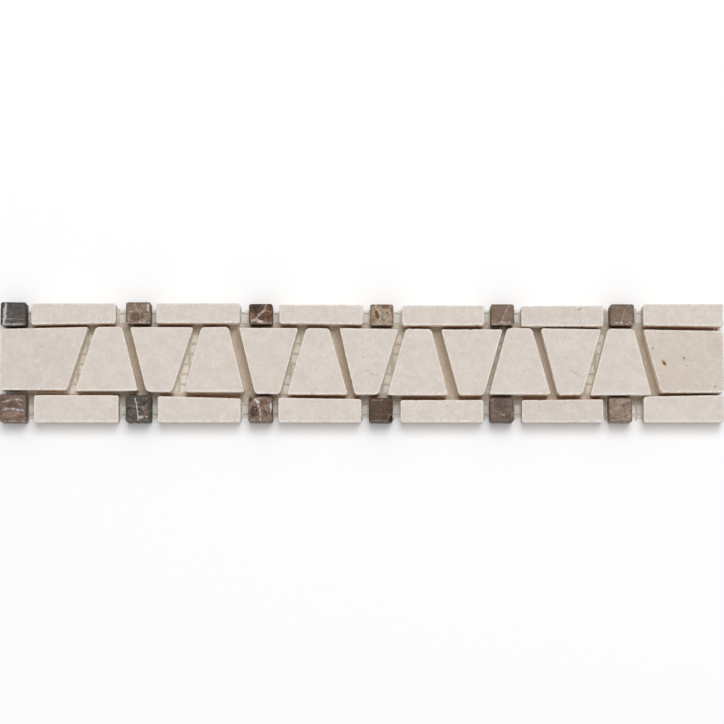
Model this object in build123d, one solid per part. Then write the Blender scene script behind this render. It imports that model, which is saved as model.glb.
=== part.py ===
from build123d import *
import os

# Mosaic border tile: three rows of tumbled stones, hand laid on an open backing mesh.
# Millimetres. X runs along the tile, Y across it to the upper row, Z out of the stones' faces.
# The origin is in the middle of the back.

# Edge rows: dark squares and cream strips in turn
REPEATS = 6
SQUARE_LENGTH = 10.3
STRIP_LENGTH = 35.0
EDGE_ROW_WIDTH = 9.85
HEAD_JOINT = 3.0
EDGE_SETBACK = 1.5

# Middle row: wedges turned over one after the other, between two end stones
MIDDLE_ROW_WIDTH = 28.0
WEDGE_WIDE = 25.8
WEDGE_NARROW = 10.65
WEDGE_JOINT = 3.5
END_STONE_LEAST = 25.0
MIDDLE_RAISE = 1.1
BED_JOINT = 1.55

# All stones
STONE_THICKNESS = 9.5
ARRIS = 0.5
CORNER_WEAR = 0.5
BLUNT_WEAR = 1.0
SHARP_WEAR = 0.4
ROUND_SHARE = 0.29

# Backing mesh: flat strands along the tile, with flat strands across it on top
STRAND_PITCH = 4.3
STRAND_WIDTH = 0.9
STRAND_THICKNESS = 0.25
MESH_INSET = 1.5

# How the hand-cut stones lie, from the left, as shares: a stone's length and the joint after it, of the
# nominal ones; its creep, how far the inner edge reaches into the bed joint, and its slew, how much
# further it does so at the left than at the right, of that joint; and its setback, how far the outer
# edge stays behind the tile's edge, of EDGE_SETBACK.
TOP_LAY = {
    "length": [1.05, 1.02, 1.02, 1.01, 0.98, 1.01, 0.96, 0.99, 0.96, 0.99, 1.0, 0.95],
    "joint": [0.7, 1.4, 0.75, 1.25, 0.9, 1.0, 1.2, 0.9, 1.0, 0.9, 1.25],
    "creep": [0.1, -0.35, -0.4, -0.55, -0.3, -0.35, 0.0, 0.05, 0.0, 0.3, 0.05, 0.2],
    "slew": [0.25, 0.4, 0.0, 0.0, 0.0, -0.25, 0.0, 0.05, 0.0, 0.0, 0.0, -0.35],
    "setback": [0.0, 0.3, 0.0, 0.3, 0.5, 0.7, 0.6, 0.9, 0.6, 1.0, 0.6, 0.5],
}
BOTTOM_LAY = {
    "length": [1.1, 1.02, 1.04, 1.0, 1.0, 1.0, 0.98, 1.0, 0.98, 0.98, 0.96, 0.95],
    "joint": [1.0, 1.0, 0.9, 1.05, 0.75, 1.05, 1.05, 0.85, 1.15, 0.75, 1.6],
    "creep": [1.3, 1.05, 1.05, 0.45, 0.7, 0.15, 0.3, -0.3, 0.35, -0.2, 0.3, 0.85],
    "slew": [0.25, 0.0, 0.0, 0.65, 0.0, 0.4, 0.0, 0.0, 0.0, -0.2, 0.0, -0.45],
    "setback": [0.0],
}

# The middle row has two chains, along its upper and its lower edge. Width is a stone's size across the
# tile, as a share of the row's. Raise is how far it lies above the centre line, and slew how much higher
# its upper edge is at the right than at the left, both of MIDDLE_RAISE.
UPPER_LAY = {
    "length": [1.06, 1.04, 1.04, 1.08, 0.97, 0.92, 0.97, 1.02, 1.01, 0.99, 0.99, 1.04, 1.0],
    "joint": [0.9, 0.95, 0.9, 1.25, 0.95, 1.2, 0.85, 1.15, 0.5, 1.05, 0.8, 1.1],
}
LOWER_LAY = {
    "length": [1.03, 1.03, 1.01, 0.99, 0.99, 1.0, 0.95, 1.0, 0.99, 1.01, 0.96, 1.0, 1.0],
    "joint": [0.95, 1.0, 1.45, 1.25, 0.8, 0.8, 1.0, 1.3, 0.6, 0.85, 0.95, 1.1],
}
MIDDLE_LAY = {
    "width": [0.94, 0.97, 0.98, 0.985, 1.0, 1.005, 1.0, 1.005, 0.995, 1.005, 1.0, 1.005, 0.945],
    "raise": [1.2, 1.25, 1.0, 1.0, 0.45, 0.3, 0.2, 0.05, -0.05, 0.3, 0.1, 0.05, 0.25],
    "slew": [0.75, 0.0, -0.05, 0.15, -0.15, 0.0, -0.4, -0.15, 0.0, -0.15, -0.4, -0.2, -0.55],
}

TILE_LENGTH = REPEATS * (SQUARE_LENGTH + STRIP_LENGTH) + (2 * REPEATS - 1) * HEAD_JOINT
TILE_WIDTH = MIDDLE_ROW_WIDTH + 2 * BED_JOINT + 2 * EDGE_ROW_WIDTH
STONE_SEAT = 2 * STRAND_THICKNESS


def share(lay, what, place):
    """One stone's share; a longer row starts the list again."""
    return lay[what][place % len(lay[what])]


def lay_row(nominal_lengths, joint, lay):
    """Left and right end of each stone in a row. The last stone is cut to the tile's end."""
    ends = []
    left = -TILE_LENGTH / 2
    for place, nominal in enumerate(nominal_lengths):
        right = left + nominal * share(lay, "length", place)
        ends.append((left, right))
        left = right + joint * share(lay, "joint", place)
    ends[-1] = (ends[-1][0], TILE_LENGTH / 2)
    return ends


def worn_corner(before, corner, after, wear):
    """The two flats that a tumbled corner is worn to, as three points: the middle one lies on its round."""
    back = (before - corner).normalized() * (ARRIS + wear)
    ahead = (after - corner).normalized() * (ARRIS + wear)
    return [corner + back, corner + (back + ahead) * ROUND_SHARE, corner + ahead]


def stone(corners, wears):
    """One tumbled stone on the mesh, with worn corners and a blunted upper arris."""
    corners = [Vector(*corner) for corner in corners]
    outline = []
    for place, wear in enumerate(wears):
        after = corners[(place + 1) % len(corners)]
        outline += worn_corner(corners[place - 1], corners[place], after, wear)
    block = extrude(make_face(Polyline(*outline, close=True)), STONE_THICKNESS, dir=(0, 0, 1))
    block = chamfer(block.faces().sort_by(Axis.Z)[-1].edges(), ARRIS)
    return Pos(0, 0, STONE_SEAT) * block


def edge_row(name, side, lay):
    """Squares and strips in turn along one long edge: side is 1 for the upper row, -1 for the lower."""
    nominal_lengths = [SQUARE_LENGTH, STRIP_LENGTH] * REPEATS
    stones = {}
    for place, (left, right) in enumerate(lay_row(nominal_lengths, HEAD_JOINT, lay)):
        inner = MIDDLE_ROW_WIDTH / 2 + BED_JOINT * (1 - share(lay, "creep", place))
        slew = BED_JOINT * share(lay, "slew", place) / 2
        outer = TILE_WIDTH / 2 - EDGE_SETBACK * share(lay, "setback", place)
        corners = [
            (left, side * (inner - slew)),
            (right, side * (inner + slew)),
            (right, side * outer),
            (left, side * outer),
        ]
        kind = ("square", "strip")[place % 2]
        stones[f"{name}_{kind}_{place // 2 + 1}"] = stone(corners, [CORNER_WEAR] * len(corners))
    return stones


def middle_row():
    """The wedges and their end stones. Odd wedges are wide at the lower edge, even ones at the upper."""
    wedge_mean = (WEDGE_WIDE + WEDGE_NARROW) / 2
    slant = (WEDGE_WIDE - WEDGE_NARROW) / 2
    count = int((TILE_LENGTH - 2 * END_STONE_LEAST - WEDGE_JOINT) / (wedge_mean + WEDGE_JOINT))
    end_mean = (TILE_LENGTH - count * wedge_mean - (count + 1) * WEDGE_JOINT) / 2
    last = count + 1

    def wide_above(place):
        return place % 2 == 0

    def chain(upper):
        wedges = []
        for place in range(1, last):
            wedges.append(WEDGE_WIDE if wide_above(place) == upper else WEDGE_NARROW)
        ends = []
        for place in (0, last):
            ends.append(end_mean + (slant / 2 if wide_above(place) == upper else -slant / 2))
        return [ends[0]] + wedges + [ends[1]]

    upper_ends = lay_row(chain(True), WEDGE_JOINT, UPPER_LAY)
    lower_ends = lay_row(chain(False), WEDGE_JOINT, LOWER_LAY)
    stones = {}
    for place in range(last + 1):
        raised = MIDDLE_RAISE * share(MIDDLE_LAY, "raise", place)
        half = MIDDLE_ROW_WIDTH * share(MIDDLE_LAY, "width", place) / 2
        slew = MIDDLE_RAISE * share(MIDDLE_LAY, "slew", place) / 2
        (upper_left, upper_right), (lower_left, lower_right) = upper_ends[place], lower_ends[place]
        corners = [
            (lower_left, raised - half),
            (lower_right, raised - half),
            (upper_right, raised + half + slew),
            (upper_left, raised + half - slew),
        ]
        above = SHARP_WEAR if wide_above(place) else BLUNT_WEAR
        below = BLUNT_WEAR if wide_above(place) else SHARP_WEAR
        wears = [below, below, above, above]
        name = f"wedge_{place}"
        if place == 0:
            name = "left_end_stone"
            wears[0] = wears[3] = CORNER_WEAR
        if place == last:
            name = "right_end_stone"
            wears[1] = wears[2] = CORNER_WEAR
        stones[name] = stone(corners, wears)
    return stones


def backing_mesh():
    """The mesh in two halves: lengthwise strands below, cross strands on them, fused where they cross."""
    reach_x = TILE_LENGTH / 2 - MESH_INSET
    reach_y = TILE_WIDTH / 2 - MESH_INSET
    columns = int(reach_x / STRAND_PITCH)
    rows = int(reach_y / STRAND_PITCH)
    seam = STRAND_PITCH / 2
    halves = {
        "backing_mesh_left": (-reach_x, seam, range(-columns, 1)),
        "backing_mesh_right": (seam, reach_x, range(1, columns + 1)),
    }
    meshes = {}
    upright = (Align.CENTER, Align.CENTER, Align.MIN)
    for name, (start, end, strands) in halves.items():
        lengthwise = Box(end - start, STRAND_WIDTH, STRAND_THICKNESS, align=upright)
        across = Box(STRAND_WIDTH, 2 * reach_y, STRAND_THICKNESS, align=upright)
        middle = (start + end) / 2
        below = [Pos(middle, row * STRAND_PITCH, 0) * lengthwise for row in range(-rows, rows + 1)]
        above = [Pos(column * STRAND_PITCH, 0, STRAND_THICKNESS) * across for column in strands]
        meshes[name] = below[0].fuse(*below[1:], *above)
    return meshes


os.makedirs("parts", exist_ok=True)
nodes = {
    **edge_row("top", 1, TOP_LAY),
    **middle_row(),
    **edge_row("bottom", -1, BOTTOM_LAY),
    **backing_mesh(),
}
for name, solid in nodes.items():
    export_step(solid, f"parts/{name}.step")
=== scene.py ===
import bpy
import numpy as np
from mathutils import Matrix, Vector


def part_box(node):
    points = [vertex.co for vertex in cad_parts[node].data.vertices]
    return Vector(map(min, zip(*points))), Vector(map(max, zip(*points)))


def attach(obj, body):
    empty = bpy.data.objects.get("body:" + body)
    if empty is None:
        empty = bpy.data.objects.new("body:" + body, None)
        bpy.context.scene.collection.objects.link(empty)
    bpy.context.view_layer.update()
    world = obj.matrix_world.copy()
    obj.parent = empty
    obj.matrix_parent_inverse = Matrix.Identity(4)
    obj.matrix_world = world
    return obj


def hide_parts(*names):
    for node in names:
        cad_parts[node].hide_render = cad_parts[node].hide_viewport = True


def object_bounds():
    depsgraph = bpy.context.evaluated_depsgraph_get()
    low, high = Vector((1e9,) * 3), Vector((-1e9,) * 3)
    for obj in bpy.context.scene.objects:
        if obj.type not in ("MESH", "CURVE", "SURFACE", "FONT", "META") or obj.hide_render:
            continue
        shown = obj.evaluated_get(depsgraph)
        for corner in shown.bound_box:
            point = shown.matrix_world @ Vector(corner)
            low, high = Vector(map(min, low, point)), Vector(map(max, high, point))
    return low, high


# Mosaic border tile: tumbled cream stones and dark marble squares, glued to an open woven mesh.
# Shapes are worked out in millimetres and turned into metres when their mesh is made.

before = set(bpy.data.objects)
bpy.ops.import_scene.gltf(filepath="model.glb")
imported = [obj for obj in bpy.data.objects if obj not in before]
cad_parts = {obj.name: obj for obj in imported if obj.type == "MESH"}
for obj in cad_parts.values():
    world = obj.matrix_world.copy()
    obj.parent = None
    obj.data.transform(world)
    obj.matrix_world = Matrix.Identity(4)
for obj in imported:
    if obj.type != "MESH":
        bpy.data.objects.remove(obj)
CAD_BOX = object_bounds()

MM = 0.001
TILE_LOW = np.array(CAD_BOX[0]) / MM
TILE_HIGH = np.array(CAD_BOX[1]) / MM

# Tumbling: how round the arrises are and how that changes along them, and how far a face leans, in all
# and as shares
ARRIS_ROUND = 0.34
ARRIS_SPREAD = 0.35
ARRIS_WAVE_LENGTH = 8.0
FACE_LEAN = 0.2
LEAN_SHARE = (0.2, 1.0)

# Unevenness, all cut back from the sawn stone: its depth and the length of its waves
FACE_WAVE = (0.16, 10.0)
FACE_GRAIN = (0.035, 1.7)
SIDE_WANDER = (0.06, 13.0)
SIDE_GRAIN = (0.015, 2.5)
WALL_RELIEF = (0.1, 3.0)
SIDE_FADE = 4.0

# Chips in the arris: least and most lift above the edge, size, and depth as a share of the size
CHIP_SPACING = 12.0
CHIP_LIFT = (0.0, 0.6)
CHIP_SIZE = (0.35, 1.0)
CHIP_DEPTH = (0.08, 0.22)

# Pits: the share of their reach that is flat, and how dark the shallowest is
PIT_FLOOR = 0.35
PIT_SHADE = 0.25

# Points on a stone: steps over an arris and the band that they take, in rounds, even steps on the face, and
# rows on the sides. LEVEL_SLACK is how near two heights count as one.
ARRIS_STEPS = 6
ARRIS_BAND = 1.3
FACE_STEP = 0.34
WALL_ROWS = 9
LEVEL_SLACK = 0.01

# Bed joints run along the tile on both sides of its centre line, BED_LINE away from it, and fade out over
# BED_BAND. The stone across a joint is looked for JOINT_REACH away, with STONE_SIDE as its soft limit.
BED_LINE = 14.8
BED_BAND = (1.4, 2.6)
JOINT_REACH = 2.6
STONE_SIDE = (-1.2, 0.3)

# Woven mesh: a yarn's depth, and its rise and fall in the weave, are shares of half the mesh's thickness
STRAND_PITCH = 4.3
YARN_SIDES = 8
YARN_STEP = 0.6
YARN_WANDER = 0.12
CROSS_WIDTH = 0.86
CROSS_DEPTH = 1.1
CROSS_RISE = 0.2
CROSS_WAVE_LENGTH = 18.0
TWIN_WIDTH = 0.4
TWIN_DEPTH = 1.15
TWIN_RISE = 0.35
TWIN_SWING = 0.24
TWIN_WAVE_LENGTH = 25.0

# Glue: a film over the mesh in the joints, which climbs the stones a little and stops short of the edge.
# It is thicker in joints that lean to the left, told by the slope of the gap, and hides the mesh there.
GLUE_STEP = 0.55
GLUE_MARGIN = 1.0
GLUE_UNDER = 0.04
GLUE_LEVEL = 0.22
GLUE_RIPPLE = 0.06
GLUE_CLIMB = 0.55
GLUE_FILLET = 0.45
GLUE_COVER = 0.4
GLUE_TUCK = 0.9
GLUE_SHORT = 2.2
GLUE_EDGE_WANDER = 0.6
LEAN_LEFT = (0.08, 0.22)
OUTER_FADE = 2.5
MEETING_COVER = 0.75

# Seeds of the random draws, and how far a stone's grain is moved away from the others'
STONE_SEED_STEP = 100
MESH_SEED = 7001
GLUE_SEED = 8001
SEED_RANGE = 10000
GRAIN_SHIFT = 900

# Camera, light and floor, in metres
PHOTO_SIDE = 0.3048
CAMERA_DISTANCE = 1.25
CAMERA_LEAN = np.radians(5.0)
CAMERA_CLIP = (0.01, 20.0)
SENSOR = 0.036
WORLD_SHARE = 0.52
LAMP_AZIMUTH = np.radians(14)
LAMP_HEIGHT = np.radians(69)
LAMP_DISTANCE = 3.0
LAMP_SIZE = 1.7
FLOOR_REACH = 6.0
FLOOR_DROP = 0.02 * MM
FLOOR_GLOW = 0.05


def ease(low, high, value):
    """0 below low, 1 above high, and a smooth climb between them."""
    climb = np.clip((value - low) / (high - low), 0, 1)
    return climb * climb * (3 - 2 * climb)


def ripple(points, wavelength, seed, waves=18):
    """Smooth uneven relief from -1 to 1: waves of about one length that cross at random."""
    draw = np.random.default_rng(seed)
    aim = draw.normal(size=(waves, points.shape[-1]))
    aim /= np.linalg.norm(aim, axis=1, keepdims=True)
    aim *= 2 * np.pi / (wavelength * draw.uniform(0.7, 1.5, size=(waves, 1)))
    phase = draw.uniform(0, 2 * np.pi, waves)
    total = np.sin(points @ aim.T + phase).sum(axis=-1)
    return np.clip(total / np.sqrt(2 * waves), -1, 1)


def hollow(points, wavelength, seed):
    """The same relief from 0 to 1, to cut inwards with."""
    return (1 + ripple(points, wavelength, seed)) / 2


def cut_back(points, unevenness, seed):
    """How far each point is cut back by one kind of unevenness."""
    depth, wavelength = unevenness
    return depth * hollow(points, wavelength, seed)


def cross(a, b):
    """The cross product of two directions in plan."""
    return a[..., 0] * b[..., 1] - a[..., 1] * b[..., 0]


def grid_quads(grid):
    """Faces between the points of a grid."""
    return np.stack([grid[:-1, :-1], grid[:-1, 1:], grid[1:, 1:], grid[1:, :-1]], axis=-1).reshape(-1, 4)


def hoop_quads(hoops):
    """Faces between closed rings of points, each next to the one before."""
    after = np.roll(hoops, -1, axis=1)
    return np.stack([hoops[:-1], hoops[1:], after[1:], after[:-1]], axis=-1).reshape(-1, 4)


def new_piece(name, points, faces, flat_faces=0):
    """An object from points in mm. Its last flat_faces faces are shaded flat, and the others smooth."""
    mesh = bpy.data.meshes.new(name)
    mesh.from_pydata((points * MM).tolist(), [], faces)
    smooth = np.ones(len(faces), dtype=bool)
    if flat_faces:
        smooth[-flat_faces:] = False
    mesh.polygons.foreach_set("use_smooth", smooth)
    mesh.update()
    piece = bpy.data.objects.new(name, mesh)
    bpy.context.scene.collection.objects.link(piece)
    return piece


def mark_points(piece, name, values):
    """Keeps one number a point on the mesh, for the finishes to read."""
    layer = piece.data.attributes.new(name, "FLOAT", "POINT")
    layer.data.foreach_set("value", np.asarray(values, dtype=np.float32))


# Stones

def stone_nodes():
    """The stones' nodes, in the order of their names."""
    return [node for node in sorted(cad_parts) if not node.startswith("backing_mesh")]


def plan_corners(node):
    """Where a stone's four sides would meet in plan, from the lower left round, and how far each is worn.

    The four longest edges of its back are the sides, and the others are worn corners.
    """
    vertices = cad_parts[node].data.vertices
    points = np.array([vertex.co for vertex in vertices]) / MM
    base = points[points[:, 2] < points[:, 2].min() + LEVEL_SLACK][:, :2]
    base = np.unique(np.round(base, 4), axis=0)
    about = base - base.mean(axis=0)
    base = base[np.argsort(np.arctan2(about[:, 1], about[:, 0]))]
    ahead = np.roll(base, -1, axis=0) - base
    sides = np.sort(np.argsort(np.hypot(*ahead.T))[-4:])
    corners = []
    worn = []
    for side, following in zip(sides, np.roll(sides, -1)):
        gap = base[following] - base[side]
        reach = cross(gap, ahead[following]) / cross(ahead[side], ahead[following])
        corner = base[side] + ahead[side] * reach
        corners.append(corner)
        worn.append(np.hypot(*(base[following] - corner)))
    corners, worn = np.array(corners), np.array(worn)
    about = corners - corners.mean(axis=0)
    order = np.argsort(np.arctan2(about[:, 1], about[:, 0]))
    return corners[order], worn[order]


def clearances(points, plans):
    """How far each point lies from each stone in plan, one row a stone; under the stone it is negative."""
    rows = []
    for corners, _ in plans.values():
        sides = np.roll(corners, -1, axis=0) - corners
        out = np.stack([sides[:, 1], -sides[:, 0]], axis=1) / np.hypot(*sides.T)[:, None]
        rows.append(np.max([(points - corner) @ way for corner, way in zip(corners, out)], axis=0))
    return np.array(rows)


def met(plan, plans):
    """1 on a stone and 0 beside it, with a soft change at its side."""
    return 1 - ease(*STONE_SIDE, clearances(plan, plans).min(axis=0))


def near_bed(plan):
    """1 along the lines of the bed joints, and 0 away from them."""
    return 1 - ease(*BED_BAND, np.abs(np.abs(plan[:, 1]) - BED_LINE))


def tight_bed(plan, plans):
    # The yarn and glue finishes paint shade where this is 1
    """1 in a bed joint between two stones, and 0 where a slanted or a head joint opens into it."""
    side = np.sign(plan[:, 1])
    across = np.column_stack([0 * side, JOINT_REACH * side])
    return near_bed(plan) * met(plan - across, plans) * met(plan + across, plans)


def grid_shares(length):
    """Places of the grid lines across a face, as shares: close together on the arrises, then even."""
    turn = np.linspace(0, np.pi / 2, ARRIS_STEPS + 1)
    near = ARRIS_BAND * ARRIS_ROUND * (1 - np.cos(turn))
    count = max(2, round((length - 2 * near[-1]) / FACE_STEP))
    between = np.linspace(near[-1], length - near[-1], count + 1)[1:-1]
    return np.concatenate([near, between, length - near[::-1]]) / length


def round_corner(plan, outward, corner, wear, ahead, back):
    """Pulls the grid in at a worn corner, by what is left of the wear along both sides."""
    away = plan - corner
    skew = cross(ahead, back)
    rest_ahead = wear - cross(away, back) / skew
    rest_back = wear - cross(ahead, away) / skew
    near = (rest_ahead > 0) & (rest_back > 0)
    rest_ahead, rest_back = rest_ahead[near][:, None], rest_back[near][:, None]
    pulled_in = 1 - np.maximum(rest_ahead, rest_back) / np.hypot(rest_ahead, rest_back)
    inward = rest_ahead * ahead + rest_back * back
    plan[near] += pulled_in * inward
    outward[near] = -inward / np.linalg.norm(inward, axis=1, keepdims=True)


def stone_plan(corners, worn):
    """A grid over the stone in plan: its points, the way out to the nearest side, and how far that is."""
    sides = np.roll(corners, -1, axis=0) - corners
    lengths = np.hypot(*sides.T)
    sides = sides / lengths[:, None]
    out = np.stack([sides[:, 1], -sides[:, 0]], axis=1)
    across = grid_shares((lengths[0] + lengths[2]) / 2)[None, :, None]
    upward = grid_shares((lengths[1] + lengths[3]) / 2)[:, None, None]
    lower = (1 - across) * corners[0] + across * corners[1]
    upper = (1 - across) * corners[3] + across * corners[2]
    plan = (1 - upward) * lower + upward * upper
    insets = np.stack([-((plan - corner) @ way) for corner, way in zip(corners, out)])
    inset = np.clip(insets.min(axis=0), 0, None)
    outward = out[insets.argmin(axis=0)]
    for place, corner in enumerate(corners):
        round_corner(plan, outward, corner, worn[place], sides[place], -sides[place - 1])
    return plan, outward, inset


def tumbled_face(plan, outward, inset, face, seed):
    """The uneven face with its round arrises: points, normals, and how round the arris is at each point."""
    draw = np.random.default_rng(seed)
    arris = ARRIS_ROUND * (1 + ARRIS_SPREAD * ripple(plan, ARRIS_WAVE_LENGTH, seed + 1))
    turned = np.clip(1 - inset / arris, 0, 1)
    upright = np.sqrt(1 - turned ** 2)
    lean = draw.uniform(0, 2 * np.pi)
    about = plan - plan.mean(axis=0)
    slope = about @ (np.cos(lean), np.sin(lean))
    slope = (slope - slope.min()) / (slope.max() - slope.min())
    top = face - arris * (1 - upright) - FACE_LEAN * draw.uniform(*LEAN_SHARE) * slope
    top -= cut_back(plan, FACE_WAVE, seed + 2) + cut_back(plan, FACE_GRAIN, seed + 3)
    wander = cut_back(plan, SIDE_WANDER, seed + 4) + cut_back(plan, SIDE_GRAIN, seed + 5)
    plan = plan - outward * (wander * (1 - ease(0, SIDE_FADE, inset)))[:, None]
    normals = np.column_stack([outward * turned[:, None], upright])
    return np.column_stack([plan, top]), normals, arris


def cut_chips(points, normals, ring, seed):
    """Small bites knocked out of the arris."""
    draw = np.random.default_rng(seed)
    edge = points[ring]
    around = np.linalg.norm(np.diff(edge, axis=0), axis=1).sum()
    for _ in range(int(around / CHIP_SPACING)):
        centre = edge[draw.integers(len(edge))] + (0, 0, draw.uniform(*CHIP_LIFT))
        size = draw.uniform(*CHIP_SIZE)
        depth = size * draw.uniform(*CHIP_DEPTH)
        away = np.linalg.norm(points - centre, axis=1)
        bite = np.clip(1 - (away / size) ** 2, 0, 1)
        points -= normals * (depth * bite)[:, None]


def cut_pits(points, pits):
    """Open pits in the face; gives how deep in a pit each point lies, from 0 to 1."""
    inside = np.zeros(len(points))
    for x, y, half_length, half_width, turn, depth in pits:
        along = np.array([np.cos(np.radians(turn)), np.sin(np.radians(turn))])
        away = points[:, :2] - (x, y)
        reach = np.hypot(away @ along / half_length, cross(along, away) / half_width)
        bowl = 1 - ease(PIT_FLOOR, 1.0, reach)
        points[:, 2] -= depth * bowl
        inside = np.maximum(inside, bowl * min(1.0, PIT_SHADE + depth))
    return inside


def stone_sides(edge, outward, seat, seed):
    """The uneven sides below the face's edge: points, and how deep each lies, from 0 to 1."""
    levels = np.linspace(0, 1, WALL_ROWS + 1)[1:, None]
    heights = edge[:, 2] + (seat - edge[:, 2]) * levels
    plan = np.broadcast_to(edge[:, :2], heights.shape + (2,))
    wall = np.concatenate([plan, heights[..., None]], axis=2)
    relief = cut_back(wall, WALL_RELIEF, seed + 7) * ease(0, 0.25, levels)
    wall[..., :2] -= outward * relief[..., None]
    return wall.reshape(-1, 3), np.broadcast_to(levels, heights.shape).ravel()


def mark_stone(stone, outward, rounds, in_pit, wall, deep, tight):
    """What the finish needs to know about the face and the sides.

    Rounds says how many arris rounds a point lies in from the edge, and tight is 1 beside a tight joint.
    """
    to_edge = np.minimum(wall - TILE_LOW, TILE_HIGH - wall)[:, :2].min(axis=1)
    in_joint = ease(1.0, 5.0, to_edge)
    marks = {
        "arris": (1 - ease(0.5, 2.3, rounds), 1 - ease(0.0, 0.3, deep)),
        # Lower arrises, facing south: pale bruising together with a painted highlight
        "lower": (ease(0.4, 0.8, -outward[:, 1]) * (1 - ease(1.2, 3.6, rounds)), 0 * deep),
        # Painted light: the walls in the joints are made paler than their shade leaves them
        "painted_wall_light": (0 * rounds, ease(0.03, 0.2, deep) * in_joint),
        # Painted shade: the deep walls of tight joints are darkened and warmed to brown
        "joint": (0 * rounds, ease(0.12, 0.8, deep) * np.tile(tight, WALL_ROWS) * in_joint),
        "pit": (in_pit, 0 * deep),
    }
    for name, face_and_sides in marks.items():
        mark_points(stone, name, np.concatenate(face_and_sides))


def tumbled_stone(node, plans, seed):
    """One stone cut back from its sawn block: uneven face and sides, round chipped arrises, open pits."""
    low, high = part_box(node)
    plan, outward, inset = stone_plan(*plans[node])
    grid = np.arange(inset.size).reshape(inset.shape)
    plan, outward, inset = plan.reshape(-1, 2), outward.reshape(-1, 2), inset.ravel()
    points, normals, arris = tumbled_face(plan, outward, inset, high.z / MM, seed)

    # The ring of points round the face, where the sides start
    ring = np.concatenate([grid[0, :-1], grid[:-1, -1], grid[-1, :0:-1], grid[:0:-1, 0]])
    cut_chips(points, normals, ring, seed + 6)
    in_pit = cut_pits(points, PITS.get(node, ()))
    wall, deep = stone_sides(points[ring], outward[ring], low.z / MM, seed)

    # Faces: the grid, the sides and the back
    below = len(points) + np.arange(len(wall)).reshape(WALL_ROWS, -1)
    hoops = np.concatenate([ring[None], below])
    faces = grid_quads(grid).tolist() + hoop_quads(hoops).tolist() + [hoops[-1, ::-1].tolist()]
    stone = new_piece(f"tumbled_{node}", np.concatenate([points, wall]), faces, flat_faces=1)

    # A side stands in a tight joint where it runs along the tile and a stone lies across from it
    others = {name: corners for name, corners in plans.items() if name != node}
    across = points[ring, :2] + JOINT_REACH * outward[ring]
    tight = ease(0.5, 0.95, np.abs(outward[ring, 1])) * met(across, others)
    mark_stone(stone, outward, inset / arris, in_pit, wall, deep, tight)
    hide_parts(node)
    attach(stone, "root")
    return stone


# Pits: middle x and y on the tile, half length, half width, turn in degrees, depth
PITS = {
    "right_end_stone": [
        (127.3, -0.5, 1.5, 0.6, -55, 0.9),
        (135.6, 1.6, 0.75, 0.4, -50, 0.5),
        (136.7, -1.5, 0.5, 0.35, 20, 0.25),
        (122.4, 5.8, 0.55, 0.4, 0, 0.2),
    ],
    "wedge_6": [(0.4, 10.6, 0.4, 0.3, 0, 0.3), (0.4, 2.1, 0.5, 0.3, 0, 0.3)],
    "wedge_10": [(85.8, 10.5, 0.4, 0.3, 0, 0.3), (85.6, 2.0, 0.5, 0.3, 0, 0.3)],
    "bottom_strip_1": [
        (-113.7, -17.6, 0.45, 0.3, 0, 0.15),
        (-107.0, -17.0, 0.45, 0.35, 0, 0.15),
        (-105.6, -20.2, 0.5, 0.35, 30, 0.15),
    ],
    "bottom_square_4": [(12.5, -23.7, 2.1, 1.25, 62, 1.8)],
}


# Woven mesh and glue

def yarn(path, width, depth, first):
    """A yarn of oval section along a path, with closed ends: points, and faces counted from first."""
    ahead = np.gradient(path[:, :2], axis=0)
    ahead /= np.linalg.norm(ahead, axis=1, keepdims=True)
    aside = np.column_stack([-ahead[:, 1], ahead[:, 0], np.zeros(len(path))])
    turn = np.linspace(0, 2 * np.pi, YARN_SIDES, endpoint=False)
    across = np.cos(turn)[None, :, None] * aside[:, None, :] * width / 2
    up = np.sin(turn)[None, :, None] * np.array([0, 0, depth / 2])
    points = (path[:, None, :] + across + up).reshape(-1, 3)
    hoops = first + np.arange(len(points)).reshape(len(path), YARN_SIDES)
    return points, hoop_quads(hoops).tolist() + [hoops[0].tolist(), hoops[-1, ::-1].tolist()]


def yarn_paths(low, high, seed):
    """The way of each yarn of half a mesh, with its width and depth."""
    middle, half = (low[2] + high[2]) / 2, (high[2] - low[2]) / 2
    draw = np.random.default_rng(seed)
    paths = []
    rows = int(high[1] / STRAND_PITCH)
    along = np.arange(low[0], high[0], YARN_STEP)
    swing = np.pi * along / STRAND_PITCH
    for row in range(-rows, rows + 1):
        wander = YARN_WANDER * ripple(along[:, None], TWIN_WAVE_LENGTH, draw.integers(SEED_RANGE))
        for twin in (-1, 1):
            y = row * STRAND_PITCH + wander + twin * TWIN_SWING * np.cos(swing)
            z = middle + twin * TWIN_RISE * half * np.sin(swing)
            paths.append((np.column_stack([along, y, z]), TWIN_WIDTH, TWIN_DEPTH * half))
    across = np.arange(low[1], high[1], YARN_STEP)
    z = middle + CROSS_RISE * half * np.cos(2 * np.pi * across / STRAND_PITCH)
    for column in range(int(np.ceil(low[0] / STRAND_PITCH)), int(high[0] / STRAND_PITCH) + 1):
        wander = YARN_WANDER * ripple(across[:, None], CROSS_WAVE_LENGTH, draw.integers(SEED_RANGE))
        x = column * STRAND_PITCH + wander
        paths.append((np.column_stack([x, across, z]), CROSS_WIDTH, CROSS_DEPTH * half))
    return paths


def woven_mesh(node, plans, seed):
    """Half a mesh: flat yarns across the tile, each held between twin yarns that cross along it."""
    low, high = (np.array(corner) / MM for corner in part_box(node))
    points, faces, count = [], [], 0
    for path, width, depth in yarn_paths(low, high, seed):
        yarn_points, yarn_faces = yarn(path, width, depth, count)
        points.append(yarn_points)
        faces += yarn_faces
        count += len(yarn_points)
    points = np.concatenate(points)
    mesh = new_piece(f"woven_{node}", points, faces)
    # Where the yarn lies in a tight bed joint, for its finish's painted shade
    mark_points(mesh, "joint", tight_bed(points[:, :2], plans))
    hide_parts(node)
    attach(mesh, "root")
    return mesh


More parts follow.
